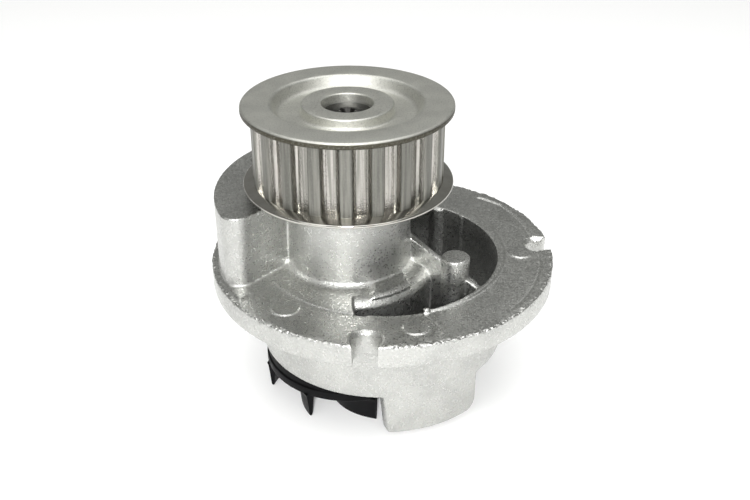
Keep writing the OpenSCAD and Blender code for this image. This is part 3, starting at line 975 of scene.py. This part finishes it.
    def wear_and_highlight(self, points: np.ndarray, normals: np.ndarray,
             edges: np.ndarray) -> tuple[np.ndarray, np.ndarray]:
        """How far each point stands out of, or lies in, its surroundings.

        Args:
            points: Points in mm.
            normals: Normals at the points.
            edges: Pairs of point numbers.

        Returns:
            Both measures, from 0 to 1; the first marks worn edges and the second a painted
            highlight along hollows.
        """
        soft = points
        for _ in range(self.wear_and_highlight_passes):
            soft = self.relax(soft, edges, self.wear_and_highlight_share)
        sunk = np.einsum("ij,ij->i", soft - points, normals)
        return smoothstep(-sunk, *self.crest_span), smoothstep(sunk, *self.hollow_highlight_span)

    def thinned(self, obj: Object) -> Object:
        """Thins the even mesh where it is flat."""
        obj.modifiers.new("triangles", "TRIANGULATE")
        modifier = obj.modifiers.new("thin", "DECIMATE")
        modifier.ratio = min(1.0, self.triangles / (2 * len(obj.data.polygons)))
        return plain_copy("cast_housing_body", obj)

    @staticmethod
    def transfer(mesh: Mesh, points: np.ndarray, values: dict[str, np.ndarray]) -> None:
        """Stores values at the nearest points of another mesh.

        Args:
            mesh: Mesh that takes the values.
            points: Points that the values belong to, in mm.
            values: Values by the name of the attribute.
        """
        tree = KDTree(len(points))
        for i, p in enumerate(points * MM):
            tree.insert(p, i)
        tree.balance()
        nearest = np.array([tree.find(v.co)[1] for v in mesh.vertices])
        for name, value in values.items():
            data = mesh.attributes.new(name, "FLOAT", "POINT").data
            data.foreach_set("value", value[nearest].astype(np.float32))


@dataclass
class Pulley:
    """Toothed pulley: turned body, rounded teeth set round it, and the dished lower flange."""

    teeth: int = 20
    land_r: float = 29.63
    depth: float = 2.5
    land_w: float = 3.6
    bottom: float = 38.1
    tooth_w: float = 22.4
    top_t: float = 2.1
    top_r: float = 32.5
    recess_r: float = 22.73
    recess_depth: float = 3.8
    bore_r: float = SHAFT_R
    hub_boss_r: float = 14.3
    rim_bore_r: float = 23.0
    hub_r: float = 13.0
    hub_bottom: float = 47.0
    web_t: float = 6.0
    seat_r: float = 27.0
    lip_r: float = 32.9
    turn: float = -92.3
    steel: Material | None = None
    sheet: Material | None = None

    def build(self, repeater: Repeater) -> None:
        """Builds and dresses the body, the teeth and the lower flange.

        Args:
            repeater: Tree that sets the teeth round the body.
        """
        dress(self.body(), self.steel, Body.ROTOR, ["toothed_pulley"])
        repeater.ring("pulley_teeth", self.tooth(), self.teeth, self.turn, self.steel,
                      Slot.SINTERED)
        dress(self.lower_flange(), self.sheet, Body.ROTOR, ["pulley_lower_flange"])

    def body(self) -> Object:
        """Turned body with the upper flange, the recess and the hub."""
        root = self.land_r - self.depth
        under = self.bottom + self.tooth_w
        top = under + self.top_t
        floor = top - self.recess_depth
        web = floor - self.web_t
        hub_top = top - 0.6
        skirt = self.bottom - 1.4
        hub, rim, seat = self.hub_r, self.rim_bore_r, self.seat_r
        boss, recess = self.hub_boss_r, self.recess_r
        return lathe("pulley_body", rounded([
            (self.bore_r, self.hub_bottom, 0.4), (hub, self.hub_bottom, 0.6), (hub, web, 1.2),
            (rim, web, 1.2), (rim, skirt, 0.3), (seat, skirt, 0.2), (seat, self.bottom, 0),
            (root, self.bottom, 0), (root, under, 0.5), (self.top_r, under, 0.55),
            (self.top_r, top, 0.8), (recess + 0.5, top, 1.4), (recess - 1.1, floor, 2.2),
            (boss, floor, 1.0), (boss - 0.15, hub_top, 0.5), (self.bore_r, hub_top, 0.45)], 6))

    def tooth(self) -> Object:
        """One tooth, centred on the +X axis, with rounded lands and flared roots."""
        root = self.land_r - self.depth
        pitch = 2 * math.pi * self.land_r / self.teeth
        space_root = (pitch - self.land_w) * 0.66
        foot = (2 * math.pi * root / self.teeth - space_root) / 2
        half = self.land_w / 2
        flank = [(root - 0.6, foot + 0.5, 0), (root - 0.05, foot + 0.5, 0.3),
                 (root + 0.5, foot - 0.18, 0.7), (self.land_r, half, 0.42)]
        other = [(x, -y, r) for x, y, r in flank]
        outline = rounded(other + [(self.land_r + 0.06, 0, 0)] + flank[::-1], 4)
        bm = bmesh.new()
        rows = [[Vector((x * MM, y * MM, z * MM)) for x, y in outline]
                for z in (self.bottom, self.bottom + self.tooth_w + 0.3)]
        prism_rows(rows, bm)
        return finish_mesh("pulley_tooth", bm)

    def lower_flange(self) -> Object:
        """Pressed flange with a dished, rolled lip."""
        z, t, drop, knee = self.bottom, 1.1, 0.9, self.land_r + 0.2
        return lathe("pulley_lower_flange_skin", rounded([
            (self.seat_r, z - t, 0.15), (knee - 0.3, z - t, 1.2), (self.lip_r, z - drop - t, 0.5),
            (self.lip_r, z - drop, 0.5), (knee, z, 1.2), (self.seat_r, z, 0.15)], 5))


@dataclass
class ShaftEnd:
    """Ground shaft with a turned end face and a centre hole."""

    radius: float = SHAFT_R
    low: float = -33.4
    high: float = 59.3
    races: Point2 = (16.5, 36.5)
    track_r: float = 10.35
    ball_r: float = 2.8
    hole_r: float = 2.7
    steel: Material | None = None

    def build(self) -> Object:
        """Builds and dresses the shaft."""
        r, ball, top = self.radius, self.ball_r, self.high
        half = math.sqrt(ball * ball - (self.track_r - r) ** 2)
        outline = [(AXIS_GAP, self.low, 0), (r, self.low, 0.5)]
        for z in self.races:
            outline.append((r, z - half, 0))
            for k in range(1, 8):
                a = math.pi - math.asin(half / ball) * (k / 4 - 1)
                outline.append((self.track_r + ball * math.cos(a), z + ball * math.sin(a), 0))
            outline.append((r, z + half, 0))
        outline += [(r, top, 0.9), (self.hole_r, top, 0.25), (0.9, top - 2.2, 0.2),
                    (AXIS_GAP, top - 2.6, 0)]
        piece = lathe("pump_shaft_ground", rounded(outline, 5), segments=96)
        return dress(piece, self.steel, Body.ROTOR, ["pump_shaft"])


@dataclass
class Impeller:
    """Moulded impeller: turned disc and backswept blades that taper to their free edge."""

    radius: float = 28.9
    lip_r: float = 28.3
    top: float = -22.7
    disc_top: float = -26.2
    disc_bottom: float = -29.2
    blade_bottom: float = -37.8
    bush_r: float = 9.9
    boss_r: float = 12.5
    hub_r: float = 17.5
    boot_r: float = 15.6
    boot_z: float = -23.33
    boss_bottom: float = -34.4
    blades: int = 8
    spans: int = 18
    phase: float = -74.4
    path: tuple[Point2, ...] = ((28.2, 0.0), (20.7, -24.0), (11.5, -60.0))
    plastic: Material | None = None

    def build(self, repeater: Repeater) -> None:
        """Builds and dresses the disc and the blades.

        Args:
            repeater: Tree that sets the blades round the disc.
        """
        dress(self.disc(), self.plastic, Body.ROTOR, ["impeller"])
        repeater.ring("impeller_blades", self.blade(), self.blades, self.phase, self.plastic,
                      Slot.IMPELLER)

    def disc(self) -> Object:
        """Turned disc with its sealing lip, hub and boss."""
        bush, lip, hub, boot = self.bush_r, self.lip_r, self.hub_r, self.boot_r
        face, back, step = self.disc_top, self.disc_bottom, self.boot_z + 1
        return lathe("impeller_disc", rounded([
            (bush, self.boss_bottom, 0.2), (self.boss_r, self.boss_bottom, 0.6),
            (self.boss_r + 0.3, back, 1.5), (self.radius, back, 0.5), (self.radius, face, 0.35),
            (lip, face, 0.25), (lip - 0.1, self.top, 0.4), (lip - 3, self.top, 0.4),
            (lip - 3.1, face, 0.6), (hub, face, 0.6), (hub, step, 0.3), (boot, step, 0.1),
            (boot, self.boot_z, 0.1), (bush, self.boot_z, 0.1)], 4))

    def blade(self) -> Object:
        """One blade, whose tip lies on the +X axis, thick at the disc and thin at its free edge."""
        tip, middle, root = (
            Vector((d * math.cos(math.radians(a)), d * math.sin(math.radians(a))))
            for d, a in self.path)
        spans = self.spans
        line = []
        for i in range(spans + 1):
            t = i / spans
            line.append(tip * (1 - t) * (1 - 2 * t) + middle * 4 * t * (1 - t)
                        + root * t * (2 * t - 1))
        back, edge = self.disc_bottom, self.blade_bottom
        heights = [(back + 0.4, 2.0), (back - 0.5, 1.6), (back - 1.6, 1.35), (back - 5, 0.95),
                   (edge + 0.9, 0.66), (edge + 0.25, 0.55), (edge, 0.25)]
        bm = bmesh.new()
        rows = []
        for z, half in heights:
            left, right = [], []
            for i, c in enumerate(line):
                along = (line[min(i + 1, spans)] - line[max(i - 1, 0)]).normalized()
                side = Vector((-along.y, along.x))
                h = half * (0.72 + 0.28 * math.sin(math.pi * min(1, i / spans * 1.2 + 0.15)))
                left.append((c + side * h).to_3d())
                right.append((c - side * h).to_3d())
            loop = left + right[::-1]
            rows.append([Vector((v.x, v.y, z)) * MM for v in loop])
        prism_rows(rows[::-1], bm)
        return finish_mesh("impeller_blade", bm)


@dataclass
class RimFlash:
    """Crumbs of casting flash along the flange's upper edge, scattered by Geometry Nodes.

    Their size and their shift from the ring are in metres.
    """

    radius: float = 55.7
    height: float = 7.55
    count: int = 330
    seed: int = 7
    size: float = 0.00021
    gaps: tuple[float, ...] = (-98.1, 1.5, 101.1)
    gap_half: float = 5.4
    shift: tuple[Triple, Triple] = ((-0.0007, -0.0007, -0.0004), (0.0004, 0.0004, 0.0003))
    spin: tuple[Triple, Triple] = ((0.0, 0.0, 0.0), (6.28, 6.28, 6.28))
    stretch: tuple[Triple, Triple] = ((0.35, 0.35, 0.25), (1.6, 1.2, 0.8))
    material: Material | None = None

    def build(self) -> Object:
        """Builds and dresses the crumbs."""
        tree = NodeTree("rim_flash", {"Radius": "Float", "Height": "Float", "Count": "Int",
                                      "Size": "Float", "Seed": "Int", "Material": "Material"})
        add, given = tree.add, tree.given.outputs

        def draw(span: tuple[Triple, Triple]) -> Socket:
            """One random vector per point, between the two ends of the span."""
            return add("FunctionNodeRandomValue", {0: span[0], 1: span[1], "Seed": given["Seed"]},
                       data_type="FLOAT_VECTOR").outputs[0]

        circle = add("GeometryNodeMeshCircle", {
            "Vertices": given["Count"], "Radius": given["Radius"]})
        lift = add("ShaderNodeCombineXYZ", {2: given["Height"]})
        raised = add("GeometryNodeTransform", {
            "Geometry": circle.outputs[0], "Translation": lift.outputs[0]})
        points = add("GeometryNodeMeshToPoints", {0: raised.outputs[0]})
        polar = add("ShaderNodeSeparateXYZ", {0: add("GeometryNodeInputPosition").outputs[0]})
        bearing = add("ShaderNodeMath", {0: polar.outputs[1], 1: polar.outputs[0]},
                      operation="ARCTAN2")
        near = None
        for gap in self.gaps:
            test = add("ShaderNodeMath", {0: bearing.outputs[0], 1: math.radians(gap),
                                          2: math.radians(self.gap_half)}, operation="COMPARE")
            if near is not None:
                test = add("ShaderNodeMath", {0: near.outputs[0], 1: test.outputs[0]},
                           operation="MAXIMUM")
            near = test
        clear = add("GeometryNodeDeleteGeometry", {
            "Geometry": points.outputs[0], "Selection": near.outputs[0]})
        move = add("GeometryNodeSetPosition", {
            "Geometry": clear.outputs[0], "Offset": draw(self.shift)})
        crumb = add("GeometryNodeMeshIcoSphere", {"Subdivisions": 1, "Radius": given["Size"]})
        tree.close(add("GeometryNodeInstanceOnPoints", {
            "Points": move.outputs[0], "Instance": crumb.outputs[0],
            "Rotation": draw(self.spin), "Scale": draw(self.stretch)}))
        crumbs = tree.run("rim_flash_crumbs", {
            "Radius": self.radius * MM, "Height": self.height * MM, "Count": self.count,
            "Size": self.size, "Seed": self.seed, "Material": self.material})
        return dress(crumbs, self.material, Body.HOUSING)


@dataclass
class InnerParts:
    """Bearing, seal and other inner pieces, which keep their CAD shape and get their finishes."""

    def build(self) -> None:
        """Builds the finishes and puts them on the CAD nodes."""
        finishes = (
            (Moulded("black_rubber", (0.012, 0.012, 0.012), (0.03, 0.03, 0.03), 0.6),
             ("housing_o_ring", "upper_bearing_seal", "lower_bearing_seal", "slinger_ring",
              "seal_bellows", "mating_ring_boot")),
            (TurnedSteel("ground_bearing_steel", (0.66, 0.66, 0.67), (0.5, 0.5, 0.51), 0.16, 0.3),
             ("bearing_outer_ring",)),
            (TurnedSteel("polished_ball_steel", (0.78, 0.78, 0.8), (0.7, 0.7, 0.72), 0.05, 0.12),
             ("upper_ball_row", "lower_ball_row")),
            (Moulded("cage_polyamide", (0.30, 0.24, 0.12), (0.42, 0.36, 0.2), 0.45),
             ("upper_ball_cage", "lower_ball_cage")),
            (TurnedSteel("drawn_cup_steel", (0.66, 0.62, 0.5), (0.5, 0.47, 0.36), 0.22, 0.38),
             ("seal_cup", "seal_spring_plate")),
            (TurnedSteel("spring_wire", (0.6, 0.6, 0.6), (0.45, 0.45, 0.45), 0.18, 0.3),
             ("seal_spring",)),
            (Moulded("seal_graphite", (0.03, 0.03, 0.032), (0.06, 0.06, 0.065), 0.3),
             ("seal_carbon_ring",)),
            (Moulded("fired_ceramic", (0.8, 0.78, 0.72), (0.86, 0.85, 0.8), 0.22),
             ("seal_mating_ring",)),
            (TurnedSteel("drawn_brass", (0.78, 0.6, 0.3), (0.62, 0.45, 0.2), 0.2, 0.34),
             ("seal_sleeve",)),
            (TurnedSteel("bush_steel", (0.5, 0.5, 0.5), (0.36, 0.36, 0.36), 0.3, 0.45),
             ("impeller_bush",)))
        for finish, names in finishes:
            material = finish.build()
            for name in names:
                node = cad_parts[name]
                node.data.materials.clear()
                node.data.materials.append(material)
                LOG.info("%s keeps its CAD shape", name)


# Studio


@dataclass
class Studio:
    """Camera, floor and soft lights."""

    eye: Triple = (-14.77, -278.67, 167.65)
    pitch: float = 29.823
    yaw: float = 2.525
    lens: float = 46.1952
    floor_z: float = -38.0

    def build(self) -> None:
        """Builds the camera, the floor, the lights and the surroundings."""
        self.camera()
        self.floor()
        self.area("overhead_softbox", (0.0, -0.05, 1.5), (0, 0, 0), 1.5, 17.0)
        self.area("front_left_softbox", (-0.75, -0.85, 0.85), (0, 0, 0.02), 0.6, 2.2)
        self.area("front_right_softbox", (0.7, -0.9, 0.5), (0, 0, 0.0), 0.4, 0.8)
        self.area("camera_lamp", (-0.07, -0.80, 0.50), (-0.01, 0, 0.02), 0.10, 8.0)
        world = bpy.data.worlds.new("studio")
        bpy.context.scene.world = world
        world.use_nodes = True
        sky = world.node_tree.nodes["Background"]
        sky.inputs["Color"].default_value = (0.93, 0.94, 0.90, 1)
        sky.inputs["Strength"].default_value = 0.26
        view = bpy.context.scene.view_settings
        view.view_transform = "Standard"
        view.look = "None"

    def camera(self) -> None:
        """Places the camera and makes it the scene's own."""
        pitch, yaw = math.radians(self.pitch), math.radians(self.yaw)
        level = math.cos(pitch)
        forward = Vector((math.sin(yaw) * level, math.cos(yaw) * level, -math.sin(pitch)))
        right = Vector((math.cos(yaw), -math.sin(yaw), 0))
        up = right.cross(forward)
        data = bpy.data.cameras.new("camera")
        data.sensor_width = 36.0
        data.lens = self.lens
        data.clip_start, data.clip_end = 0.01, 20.0
        obj = bpy.data.objects.new("camera", data)
        bpy.context.scene.collection.objects.link(obj)
        turn = Matrix((right, up, -forward)).transposed().to_4x4()
        obj.matrix_world = Matrix.Translation(Vector(self.eye) * MM) @ turn
        bpy.context.scene.camera = obj

    def floor(self) -> None:
        """Lays a large pale floor just under the lowest point."""
        bm = bmesh.new()
        bmesh.ops.create_grid(bm, x_segments=8, y_segments=8, size=4.0)
        bmesh.ops.translate(bm, verts=bm.verts, vec=(0, 0, self.floor_z * MM))
        obj = from_bmesh("floor", bm)
        obj.data.materials.append(PaleFloor().build())

    @staticmethod
    def area(name: str, place: Triple, target: Triple, size: float, power: float) -> None:
        """Hangs one square soft light.

        Args:
            name: Name of the light.
            place: Its place in metres.
            target: Point that it faces.
            size: Side of the square in metres.
            power: Power in watts.
        """
        data = bpy.data.lights.new(name, "AREA")
        data.size, data.energy = size, power
        obj = bpy.data.objects.new(name, data)
        bpy.context.scene.collection.objects.link(obj)
        obj.location = place
        obj.rotation_euler = (Vector(target) - Vector(place)).to_track_quat("-Z", "Y").to_euler()


def main() -> None:
    """Builds the studio and every sub-assembly in order."""
    logging.basicConfig(level=logging.INFO, format="%(name)s %(message)s")
    Studio().build()
    cast = CastAluminium().build()
    sintered = SinteredSteel().build()
    sheet = TurnedSteel("polished_flange_steel", (0.52, 0.51, 0.475), (0.47, 0.455, 0.42),
                        0.09, 0.16).build()
    # Near-black colour: painted shade for the shaft's end down in the pulley's bore.
    ground = TurnedSteel("ground_shaft_steel", (0.06, 0.058, 0.055), (0.012, 0.012, 0.011),
                         0.14, 0.30).build()
    black = Moulded("black_moulding", (0.003, 0.003, 0.0034), (0.007, 0.007, 0.008), 0.46,
                    specular=0.10).build()
    CastHousing(material=cast).build()
    RimFlash(material=cast).build()
    repeater = Repeater("set_round_axis")
    Pulley(steel=sintered, sheet=sheet).build(repeater)
    ShaftEnd(steel=ground).build()
    Impeller(plastic=black).build(repeater)
    InnerParts().build()


if __name__ == "__main__":
    main()
